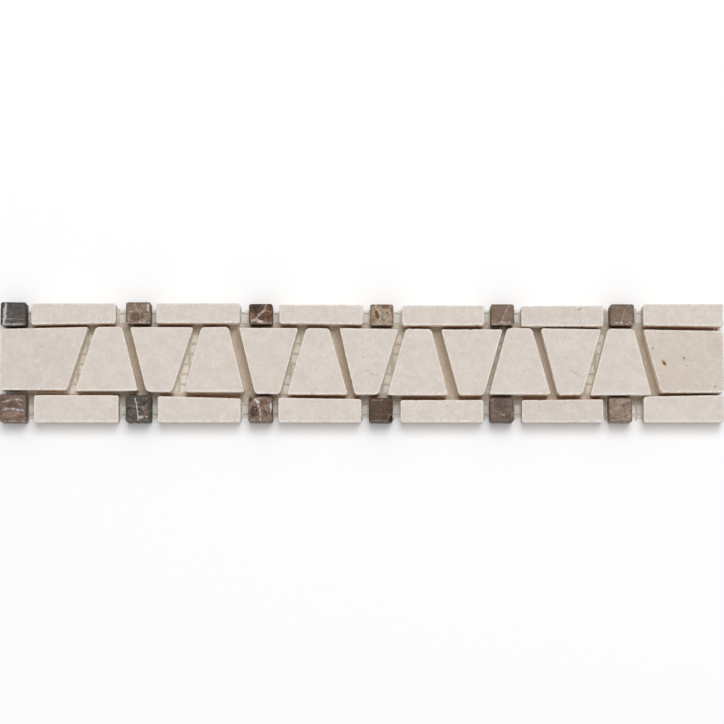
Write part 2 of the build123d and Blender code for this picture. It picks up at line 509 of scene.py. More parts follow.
def closed_sheet(upper, quads):
    """Points and faces of a thin sheet: its upper side, a flat one below it, and the rim between them."""
    edges = np.concatenate([quads[:, [side, (side + 1) % 4]] for side in range(4)])
    along = {tuple(edge) for edge in edges.tolist()}
    rim = sorted((a, b) for a, b in along if (b, a) not in along)
    count = len(upper)
    faces = quads.tolist() + (quads[:, ::-1] + count).tolist()
    faces += [(b, a, a + count, b + count) for a, b in rim]
    return np.concatenate([upper, upper * (1, 1, 0) + (0, 0, GLUE_UNDER)]), faces


def glue_film(plans):
    """The film of glue that was pressed up through the mesh into the joints, as one thin closed sheet."""
    low, high = TILE_LOW + GLUE_MARGIN, TILE_HIGH - GLUE_MARGIN
    x, y = (np.arange(low[way], high[way], GLUE_STEP) for way in (0, 1))
    plan = np.stack(np.meshgrid(x, y), axis=-1).reshape(-1, 2)
    grid = np.arange(len(plan)).reshape(len(y), len(x))
    gap = clearances(plan, plans).min(axis=0)

    # How high it stands, and where it ends
    up, right = np.gradient(gap.reshape(grid.shape), GLUE_STEP)
    outer = ease(BED_LINE, BED_LINE + OUTER_FADE, np.abs(plan[:, 1]))
    thick = ease(*LEAN_LEFT, up * right).ravel() * (1 - outer)
    level = GLUE_LEVEL + GLUE_COVER * thick + GLUE_RIPPLE * ripple(plan, 2.6, GLUE_SEED + 1)
    climb = GLUE_CLIMB * hollow(plan, 5.0, GLUE_SEED) * np.exp(-(np.clip(gap, 0, None) / GLUE_FILLET) ** 2)
    top = np.where(gap > -0.1, level + climb, level)
    to_edge = np.minimum(plan - TILE_LOW[:2], TILE_HIGH[:2] - plan).min(axis=1)
    short = GLUE_SHORT + GLUE_EDGE_WANDER * ripple(plan, 5.0, GLUE_SEED + 2)
    glued = (gap > -GLUE_TUCK) & (to_edge > short)
    quads = grid_quads(grid)
    used, quads = np.unique(quads[glued[quads].all(axis=1)], return_inverse=True)
    upper = np.column_stack([plan[used], top[used]])
    film = new_piece("glue_film", *closed_sheet(upper, quads.reshape(-1, 4)))

    # What the finish needs to know: the openings of the mesh, the tight bed joints, the edge rows, and
    # where the glue covers the mesh: in the joints that lean to the left, and partly where joints meet
    to_yarn = np.abs((plan / STRAND_PITCH + 0.5) % 1 - 0.5).min(axis=1) * STRAND_PITCH
    window = ease(0.4, 0.9, to_yarn) * ease(0.2, 0.9, gap) * (0.3 + 0.7 * hollow(plan, 9.0, GLUE_SEED + 3))
    # Tight bed joints, where the finish paints the glue in shade
    tight = tight_bed(plan, plans)
    covered = [np.roll(thick.reshape(grid.shape), step, axis=1).ravel() for step in range(-2, 3)]
    covered.append(MEETING_COVER * (near_bed(plan) * (1 - tight)))
    marks = {"window": window, "joint": tight, "outer": outer, "thick": np.max(covered, axis=0)}
    for name, values in marks.items():
        mark_points(film, name, np.tile(values[used], 2))
    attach(film, "root")
    return film


# Node trees for the finishes

def paint(red, green, blue):
    """A colour as it looks on a screen, 0 to 255, in the numbers that a shader takes."""
    values = np.array([red, green, blue]) / 255
    linear = np.where(values <= 0.04045, values / 12.92, ((values + 0.055) / 1.055) ** 2.4)
    return (*linear.tolist(), 1.0)


class Sheet:
    """A node tree that is being drawn. Each call adds a node and hands back one of its outputs."""

    def __init__(self, tree):
        self.tree = tree

    def feed(self, socket, value):
        if isinstance(value, bpy.types.NodeSocket):
            self.tree.links.new(value, socket)
        else:
            socket.default_value = value

    def add(self, kind, sockets, out=0, **settings):
        node = self.tree.nodes.new(f"ShaderNode{kind}")
        for name, value in settings.items():
            setattr(node, name, value)
        for name, value in sockets.items():
            self.feed(node.inputs[name], value)
        return node.outputs[out]

    def math(self, operation, a, b=0.0, clamp=False):
        return self.add("Math", {0: a, 1: b}, operation=operation, use_clamp=clamp)

    def times(self, a, b, clamp=False):
        return self.math("MULTIPLY", a, b, clamp)

    def vector(self, operation, a, b=(0.0, 0.0, 0.0)):
        return self.add("VectorMath", {0: a, 1: b}, operation=operation)

    def measure(self, operation, a, b=(0.0, 0.0, 0.0)):
        return self.add("VectorMath", {0: a, 1: b}, out="Value", operation=operation)

    def scale(self, vector, factor):
        return self.add("VectorMath", {0: vector, "Scale": factor}, operation="SCALE")

    def climb(self, value, low, high, start=0.0, end=1.0):
        sockets = {"Value": value, "From Min": low, "From Max": high, "To Min": start, "To Max": end}
        return self.add("MapRange", sockets, interpolation_type="SMOOTHSTEP")

    def mix(self, mask, a, b):
        return self.add("Mix", {0: mask, 6: a, 7: b}, out=2, data_type="RGBA")

    def lay(self, colour, tone, mask, strength=1.0):
        """A screen colour over the one that is there, as far as the mask and the strength show it."""
        if strength != 1.0:
            mask = self.times(mask, strength)
        return self.mix(mask, colour, paint(*tone))

    def mark(self, name):
        """The number that each point of the mesh keeps under this name."""
        return self.add("Attribute", {}, out="Fac", attribute_name=name)

    def noise(self, place, scale, detail=2.0, roughness=0.5, out="Fac"):
        sockets = {"Vector": place, "Scale": scale, "Detail": detail, "Roughness": roughness}
        return self.add("TexNoise", sockets, out=out)

    def shaken(self, place, scale, amount):
        """The place moved about by noise, so that what is drawn from it is ragged."""
        colour = self.noise(place, scale, detail=3.0, out="Color")
        shift = self.vector("SUBTRACT", colour, (0.5, 0.5, 0.5))
        return self.vector("ADD", place, self.scale(shift, amount))

    def group(self, name, **sockets):
        node = self.tree.nodes.new("ShaderNodeGroup")
        node.node_tree = bpy.data.node_groups[name]
        for socket, value in sockets.items():
            self.feed(node.inputs[socket], value)
        return node.outputs


def new_group(name, vectors, numbers, outputs):
    """An empty node group with named sockets: its sheet, its inputs, and what feeds its outputs."""
    tree = bpy.data.node_groups.new(name, "ShaderNodeTree")
    for socket in vectors:
        tree.interface.new_socket(socket, in_out="INPUT", socket_type="NodeSocketVector")
    for socket in numbers:
        tree.interface.new_socket(socket, in_out="INPUT", socket_type="NodeSocketFloat")
    for socket in outputs:
        tree.interface.new_socket(socket, in_out="OUTPUT", socket_type="NodeSocketFloat")
    sheet = Sheet(tree)
    given = tree.nodes.new("NodeGroupInput").outputs
    result = tree.nodes.new("NodeGroupOutput").inputs

    def put_out(**values):
        for socket, value in values.items():
            sheet.feed(result[socket], value)

    return sheet, given, put_out


def group_mottle():
    """Cloudy patches, fine dark flecks and pale sparks, and the grain that they leave in the face."""
    outputs = ["Cloud", "Fleck", "Spark", "Grain"]
    sheet, given, put_out = new_group("mottle", ["Place"], ["Size"], outputs)
    place = sheet.vector("DIVIDE", given["Place"], given["Size"])
    cloud = sheet.noise(place, 0.28, detail=4.0, roughness=0.6)
    patch = sheet.noise(sheet.shaken(place, 0.6, 1.2), 0.75, detail=3.0)
    fleck = sheet.noise(place, 2.6, detail=3.0, roughness=0.7)
    both = sheet.math("ADD", sheet.times(cloud, 0.55), sheet.times(patch, 0.45))
    put_out(
        Cloud=sheet.climb(both, 0.36, 0.64),
        Fleck=sheet.climb(fleck, 0.3, 0.7),
        Spark=sheet.climb(fleck, 0.58, 0.74),
        Grain=sheet.math("ADD", fleck, sheet.times(patch, 0.6)),
    )


def group_specks():
    """The coarse grain of the marble: dark, pale and rusty specks, which gather in places."""
    sheet, given, put_out = new_group("specks", ["Place"], [], ["Dark", "Pale", "Rust"])
    grain = sheet.noise(sheet.shaken(given["Place"], 0.5, 1.2), 0.95, detail=3.0, roughness=0.7)
    cloud = sheet.noise(given["Place"], 0.7, detail=3.0, roughness=0.7)
    dark_share = sheet.climb(sheet.noise(given["Place"], 0.3), 0.36, 0.6, start=0.15)
    pale_share = sheet.climb(sheet.noise(given["Place"], 0.34, detail=3.0), 0.42, 0.62, start=0.1)
    put_out(
        Dark=sheet.times(sheet.climb(grain, 0.5, 0.34), dark_share),
        Pale=sheet.times(sheet.climb(grain, 0.53, 0.68), pale_share),
        Rust=sheet.climb(cloud, 0.52, 0.64),
    )


def group_pores():
    """Scattered pinholes: one in each chosen cell."""
    sheet, given, put_out = new_group("pores", ["Place"], ["Spacing", "Share"], ["Hole"])
    place = sheet.shaken(sheet.vector("DIVIDE", given["Place"], given["Spacing"]), 3.0, 0.35)
    cell = sheet.tree.nodes.new("ShaderNodeTexVoronoi")
    cell.inputs["Scale"].default_value = 1.0
    sheet.feed(cell.inputs["Vector"], place)
    chosen = sheet.math("LESS_THAN", sheet.add("SeparateColor", {0: cell.outputs["Color"]}), given["Share"])
    hole = sheet.climb(cell.outputs["Distance"], 0.16, 0.07)
    put_out(Hole=sheet.times(hole, chosen))


def group_vein():
    """A ragged vein between two points on the face, which runs down through the stone."""
    sheet, given, put_out = new_group("vein", ["Place", "From", "To"], ["Width", "Waver"], ["Mask"])
    place = sheet.vector("MULTIPLY", sheet.shaken(given["Place"], 0.45, given["Waver"]), (1.0, 1.0, 0.0))
    away = sheet.vector("SUBTRACT", place, given["From"])
    run = sheet.vector("SUBTRACT", given["To"], given["From"])
    reached = sheet.measure("DOT_PRODUCT", away, run)
    done = sheet.math("DIVIDE", reached, sheet.measure("DOT_PRODUCT", run, run))
    done = sheet.math("MINIMUM", sheet.math("MAXIMUM", done, 0.0), 1.0)
    off = sheet.measure("LENGTH", sheet.vector("SUBTRACT", away, sheet.scale(run, done)))
    swell = sheet.climb(sheet.noise(given["Place"], 0.8), 0.32, 0.68, start=0.5, end=1.4)
    share = sheet.math("DIVIDE", off, sheet.times(given["Width"], swell))
    broken = sheet.climb(sheet.noise(given["Place"], 1.1, detail=4.0, roughness=0.65), 0.32, 0.6)
    put_out(Mask=sheet.times(sheet.climb(share, 0.62, 0.2), broken))


def group_patch():
    """A ragged oval patch of another colour."""
    sheet, given, put_out = new_group("patch", ["Place", "Middle", "Reach"], ["Turn", "Ragged"], ["Mask"])
    fine = sheet.shaken(given["Place"], 1.7, sheet.times(given["Ragged"], 0.8))
    place = sheet.vector("SUBTRACT", sheet.shaken(fine, 0.6, given["Ragged"]), given["Middle"])
    turn_back = sheet.times(given["Turn"], -1.0)
    turned = sheet.add("VectorRotate", {"Vector": place, "Axis": (0.0, 0.0, 1.0), "Angle": turn_back})
    place = sheet.vector("MULTIPLY", turned, (1.0, 1.0, 0.0))
    share = sheet.measure("LENGTH", sheet.vector("DIVIDE", place, given["Reach"]))
    put_out(Mask=sheet.climb(share, 1.12, 0.78))


def group_net():
    """Broken pieces of darker and lighter stone, and the fine veins that healed the cracks between them."""
    sheet, given, put_out = new_group("vein net", ["Place"], ["Cell", "Width", "Share"], ["Vein", "Shade"])
    wide = sheet.shaken(given["Place"], 0.3, sheet.times(given["Cell"], 0.7))
    place = sheet.vector("DIVIDE", sheet.shaken(wide, 1.3, 0.55), given["Cell"])
    edge = sheet.add("TexVoronoi", {"Vector": place, "Scale": 1.0}, feature="DISTANCE_TO_EDGE")
    cell = sheet.add("TexVoronoi", {"Vector": place, "Scale": 1.0}, out="Color")
    swell = sheet.climb(sheet.noise(given["Place"], 0.7), 0.3, 0.75, start=0.4, end=1.6)
    width = sheet.times(given["Width"], swell)
    line = sheet.climb(sheet.math("DIVIDE", edge, width), 1.0, 0.25)
    spread = sheet.noise(given["Place"], 0.33, detail=3.0)
    least = sheet.math("SUBTRACT", 0.72, sheet.times(given["Share"], 0.45))
    shown = sheet.climb(spread, least, sheet.math("ADD", least, 0.12))
    put_out(Vein=sheet.times(line, shown), Shade=sheet.add("SeparateColor", {0: cell}))


def group_wear_and_painted_light():
    """Bruised arrises, pale lower arrises (bruise and painted highlight), painted light and painted shade
    on joint walls, and pits.
    """
    outputs = ["Bruise", "Lower", "Haze", "Joint", "Pit"]
    sheet, given, put_out = new_group("wear", ["Place"], [], outputs)
    rough = sheet.noise(given["Place"], 0.8, detail=4.0, roughness=0.65)

    def uneven(name, low, high, start=0.0):
        share = sheet.climb(rough, low, high, start=start)
        return sheet.times(sheet.mark(name), share, clamp=True)

    put_out(
        Bruise=uneven("arris", 0.3, 0.65),
        Lower=uneven("lower", 0.38, 0.62),
        # Painted light on the joint walls, and painted shade deep in tight joints
        Haze=uneven("painted_wall_light", 0.1, 0.6, start=0.7),
        Joint=uneven("joint", 0.1, 0.6, start=0.5),
        Pit=sheet.mark("pit"),
    )


def new_finish(name):
    """A material with its sheet, its shader's inputs and the place on the tile in mm."""
    material = bpy.data.materials.new(name)
    material.use_nodes = True
    sheet = Sheet(material.node_tree)
    place = sheet.scale(sheet.add("TexCoord", {}, out="Object"), 1 / MM)
    return material, sheet, material.node_tree.nodes["Principled BSDF"].inputs, place


# Marks in the stone. A patch: middle, half sizes, turn in degrees, colour, strength, raggedness.
# A line: its points, width, colour, strength, waver.

def patch(x, y, half_x, half_y, turn, colour, strength=1.0, ragged=1.2):
    return "patch", (x, y), (half_x, half_y), turn, colour, strength, ragged


def line(points, width, colour, strength=1.0, waver=0.8):
    return "line", points, width, colour, strength, waver


def draw_marks(sheet, place, colour, marks, centre=(0.0, 0.0)):
    """Lays each mark over the colour, in turn."""
    def at(x, y):
        return (centre[0] + x, centre[1] + y, 0.0)

    for kind, *mark in marks:
        if kind == "patch":
            middle, (half_x, half_y), turn, tone, strength, ragged = mark
            masks = sheet.group("patch", Place=place, Middle=at(*middle), Reach=(half_x, half_y, 1.0),
                                Turn=float(np.radians(turn)), Ragged=ragged)
            colour = sheet.lay(colour, tone, masks["Mask"], strength)
        else:
            points, width, tone, strength, waver = mark
            stops = [at(*point) for point in points]
            for start, end in zip(stops, stops[1:]):
                masks = sheet.group("vein", Place=place, From=start, To=end, Width=width, Waver=waver)
                colour = sheet.lay(colour, tone, masks["Mask"], strength)
    return colour


def own_place(sheet, place, seed):
    """The place moved far away, by another way for each stone, so that no two have the same grain."""
    draw = np.random.default_rng(seed)
    return sheet.vector("ADD", place, tuple(draw.uniform(-GRAIN_SHIFT, GRAIN_SHIFT, 3).tolist()))


def shift_tone(tone, change):
    """A screen colour changed by one number, or by one each for red, green and blue."""
    return tuple(np.add(tone, change).tolist())


def lay_wear_and_painted_light(sheet, place, colour, tones, pale):
    """Painted light on the joint walls, worn arrises, the lower one as pale as given, painted shade in
    tight joints and pits over a colour.
    """
    wear = sheet.group("wear", Place=place)
    # Painted light that lifts the shaded joint walls
    if "painted_wall_light" in tones:
        colour = sheet.lay(colour, tones["painted_wall_light"], wear["Haze"])
    colour = sheet.lay(colour, tones["arris"], wear["Bruise"], 0.85)
    # The lower arris: pale bruising with a painted highlight
    colour = sheet.lay(colour, tones["lower"], wear["Lower"], pale)
    # Painted shade deep in tight joints
    colour = sheet.lay(colour, tones["joint"], wear["Joint"])
    return sheet.lay(colour, tones["pit"], wear["Pit"])


def roughen(sheet, shader, height, strength, depth):
    """Fine relief on the finish; its depth is in mm."""
    bump = sheet.add("Bump", {"Height": height, "Strength": strength, "Distance": depth * MM})
    sheet.feed(shader["Normal"], bump)


def cream_stone(name, seed, tone, marks):
    """Cream limestone: faint warm and cool clouds, specks, pinholes and its own marks."""
    material, sheet, shader, place = new_finish(name)
    own = own_place(sheet, place, seed)
    mottle = sheet.group("mottle", Place=own, Size=1.5)
    pores = sheet.group("pores", Place=own, Spacing=2.2, Share=0.25)
    colour = sheet.mix(mottle["Cloud"], paint(*shift_tone(tone, -4)), paint(*shift_tone(tone, 10)))
    warm = sheet.climb(sheet.noise(own, 0.45, detail=3.0), 0.5, 0.7)
    colour = sheet.lay(colour, shift_tone(tone, (5, -3, -9)), warm, 0.5)
    colour = sheet.lay(colour, shift_tone(tone, -25), mottle["Fleck"], 0.6)
    colour = sheet.lay(colour, shift_tone(tone, 31), mottle["Spark"], 0.9)
    colour = sheet.lay(colour, (164, 146, 130), pores["Hole"], 0.3)
    colour = draw_marks(sheet, place, colour, marks)
    sheet.feed(shader["Base Color"], lay_wear_and_painted_light(sheet, own, colour, CREAM_WEAR_AND_PAINTED_LIGHT, 0.65))
    shader["Roughness"].default_value = 0.82
    shader["Specular IOR Level"].default_value = 0.25
    height = sheet.math("SUBTRACT", mottle["Grain"], sheet.times(pores["Hole"], 1.5))
    roughen(sheet, shader, height, 0.3, 0.12)
    return material


def marble_square(name, seed, centre, tones, net, wear, marks):
    """Brown marble: broken pieces of two tones, fine veins, its own marks, coarse grain, dark rims."""
    material, sheet, shader, place = new_finish(name)
    own = own_place(sheet, place, seed)
    dark, light = tones
    cell, share, vein_tone = net
    grain, pale = wear
    mottle = sheet.group("mottle", Place=own, Size=1.3)
    crack = sheet.group("vein net", Place=own, Cell=cell, Width=0.055, Share=share)
    tone = sheet.times(sheet.math("ADD", mottle["Cloud"], crack["Shade"]), 0.5)
    colour = sheet.mix(tone, paint(*dark), paint(*light))
    colour = sheet.lay(colour, vein_tone, crack["Vein"], 0.8)
    colour = draw_marks(sheet, place, colour, marks, centre)
    specks = sheet.group("specks", Place=own)
    colour = sheet.lay(colour, shift_tone(light, (14, -12, -30)), specks["Rust"], 0.45 * grain)
    colour = sheet.lay(colour, shift_tone(dark, -38), specks["Dark"], 0.75 * grain)
    colour = sheet.lay(colour, shift_tone(light, 56), specks["Pale"], 0.65 * grain)
    # The lower arris: bruising with a painted highlight; the joint tone is painted shade
    wear_and_painted_light_tones = {
        "arris": [0.62 * value for value in dark],
        "lower": [0.35 * value + 0.65 * white for value, white in zip(light, BRUISE_AND_HIGHLIGHT_WHITE)],
        **MARBLE_PAINTED_SHADE_AND_PITS,
    }
    sheet.feed(shader["Base Color"], lay_wear_and_painted_light(sheet, own, colour, wear_and_painted_light_tones, pale))
    sheet.feed(shader["Roughness"], sheet.climb(mottle["Fleck"], 0.0, 1.0, start=0.5, end=0.7))
    shader["Specular IOR Level"].default_value = 0.2
    roughen(sheet, shader, mottle["Grain"], 0.3, 0.1)
    return material


def yarn_finish():
    """Resin-dipped glass yarn: pale tan, with brown painted shade where it lies in a tight joint."""
    material, sheet, shader, place = new_finish("glass_yarn")
    mottle = sheet.group("mottle", Place=place, Size=0.9)
    colour = sheet.mix(mottle["Cloud"], paint(208, 201, 186), paint(224, 219, 206))
    colour = sheet.lay(colour, (190, 181, 163), mottle["Fleck"], 0.25)
    # Painted shade in tight bed joints
    sheet.feed(shader["Base Color"], sheet.lay(colour, (148, 111, 82), sheet.mark("joint")))
    shader["Roughness"].default_value = 0.55
    roughen(sheet, shader, mottle["Grain"], 0.4, 0.08)
    return material


def glue_finish():
    """Dried glue: tan, whitish in the mesh's openings, greyer at the edge, brown painted shade in tight
    joints.
    """
    material, sheet, shader, place = new_finish("dried_glue")
    mottle = sheet.group("mottle", Place=place, Size=1.6)
    thick = sheet.mark("thick")
    opening = sheet.math("SUBTRACT", sheet.mark("window"), sheet.times(thick, 0.85), clamp=True)
    colour = sheet.mix(mottle["Cloud"], paint(226, 211, 192), paint(240, 230, 216))
    colour = sheet.lay(colour, (236, 234, 226), sheet.mark("outer"), 0.8)
    colour = sheet.lay(colour, (189, 173, 152), thick, 0.8)
    colour = sheet.lay(colour, (252, 250, 247), opening)
    colour = sheet.lay(colour, (206, 189, 168), mottle["Fleck"], 0.15)
    # Painted shade in tight bed joints
    sheet.feed(shader["Base Color"], sheet.lay(colour, (158, 118, 86), sheet.mark("joint")))
    sheet.feed(shader["Roughness"], sheet.climb(mottle["Cloud"], 0.0, 1.0, start=0.6, end=0.4))
    roughen(sheet, shader, mottle["Grain"], 0.4, 0.1)
    return material


# Tones of the stones, and what wear, painted light and painted shade do to them
CREAM = (223, 213, 204)
CREAM_TONES = {
    "left_end_stone": (220, 210, 201),
    "right_end_stone": (217, 206, 194),
    "top_strip_5": (220, 210, 201),
    "bottom_strip_5": (219, 209, 200),
}
CREAM_WEAR_AND_PAINTED_LIGHT = {
    # Painted light on the joint walls
    "painted_wall_light": (255, 246, 234),
    "arris": (247, 241, 233),
    # Lower arris: pale bruising with a painted highlight
    "lower": (245, 239, 231),
    # Painted shade: warm brown deep in tight joints
    "joint": (240, 192, 148),
    "pit": (96, 66, 42),
}
# The marble's deep walls in tight joints get painted shade, and its pits a darker tone
MARBLE_PAINTED_SHADE_AND_PITS = {"joint": (62, 42, 30), "pit": (46, 36, 30)}
# White of the marble's lower arris: bruising with a painted highlight
BRUISE_AND_HIGHLIGHT_WHITE = (216, 209, 201)

# Marks of the cream stones, placed on the tile
CREAM_MARKS = {
    "left_end_stone": [patch(-134.8, 6.5, 0.8, 0.6, 0, (208, 184, 162), 0.4)],
    "right_end_stone": [
        patch(130.0, -6.0, 9.0, 5.0, -20, (212, 197, 182), 0.4, 5.0),
        patch(127.0, -0.2, 1.8, 0.8, -55, (204, 172, 138), 0.8, 0.5),
        patch(135.9, 1.2, 1.0, 0.6, -50, (204, 176, 148), 0.5, 0.6),
        patch(137.2, -0.6, 0.5, 0.4, 0, (234, 228, 220), 0.5, 0.7),
        patch(136.4, -2.6, 0.5, 0.3, 0, (196, 176, 156), 0.5, 0.7),
        patch(122.4, 5.7, 0.7, 0.5, 0, (184, 176, 168), 0.6, 0.5),
        patch(148.5, -10.5, 0.8, 0.4, 40, (176, 156, 144), 0.8, 0.5),
        patch(147.6, -9.8, 0.5, 0.4, 0, (226, 218, 208), 0.7, 0.5),
    ],
    "wedge_1": [patch(-116.6, -4.2, 1.3, 0.4, 0, (232, 226, 219), 0.45, 0.8)],
    "wedge_3": [patch(-56.0, -1.3, 2.4, 3.0, 15, (220, 204, 190), 0.45, 3.5)],
    "wedge_5": [patch(-17.1, -3.6, 0.9, 0.5, 0, (232, 226, 218), 0.4, 0.9)],
    "wedge_6": [
        line([(1.6, -3.2), (4.2, -5.0), (7.2, -5.8)], 1.1, (190, 181, 172), 0.7, 2.0),
        patch(7.0, -6.8, 0.6, 1.4, 0, (219, 198, 178), 0.4, 1.2),
    ],
    "wedge_7": [patch(21.4, -6.5, 1.5, 0.45, 0, (202, 192, 184), 0.5, 1.0)],
    "wedge_8": [patch(44.7, 0.9, 0.9, 0.5, 20, (233, 227, 219), 0.4, 0.9)],
    "wedge_9": [patch(68.2, -3.9, 0.9, 0.4, 0, (198, 184, 170), 0.45, 1.2)],
    "wedge_10": [line([(87.2, -2.8), (89.6, -4.4), (92.9, -6.2)], 1.0, (188, 179, 170), 0.6, 2.4)],
    "top_strip_5": [
        patch(91.8, 22.4, 0.9, 0.5, 30, (180, 164, 150), 0.8, 0.9),
        patch(93.4, 22.0, 0.6, 0.4, 0, (232, 226, 218), 0.6, 0.6),
    ],
    "top_strip_6": [patch(144.4, 20.3, 0.5, 0.4, 0, (212, 190, 164), 0.5, 0.6)],
    "bottom_strip_1": [
        patch(-106.4, -18.3, 0.5, 0.5, 0, (232, 226, 218), 0.6, 0.6),
        patch(-107.6, -19.5, 0.4, 0.4, 0, (196, 184, 172), 0.5, 0.6),
    ],
    "bottom_strip_4": [
        patch(35.8, -18.5, 0.7, 0.3, 0, (178, 162, 150), 0.6, 0.6),
        patch(22.0, -19.5, 0.8, 0.5, 20, (233, 227, 219), 0.5, 0.9),
    ],
}
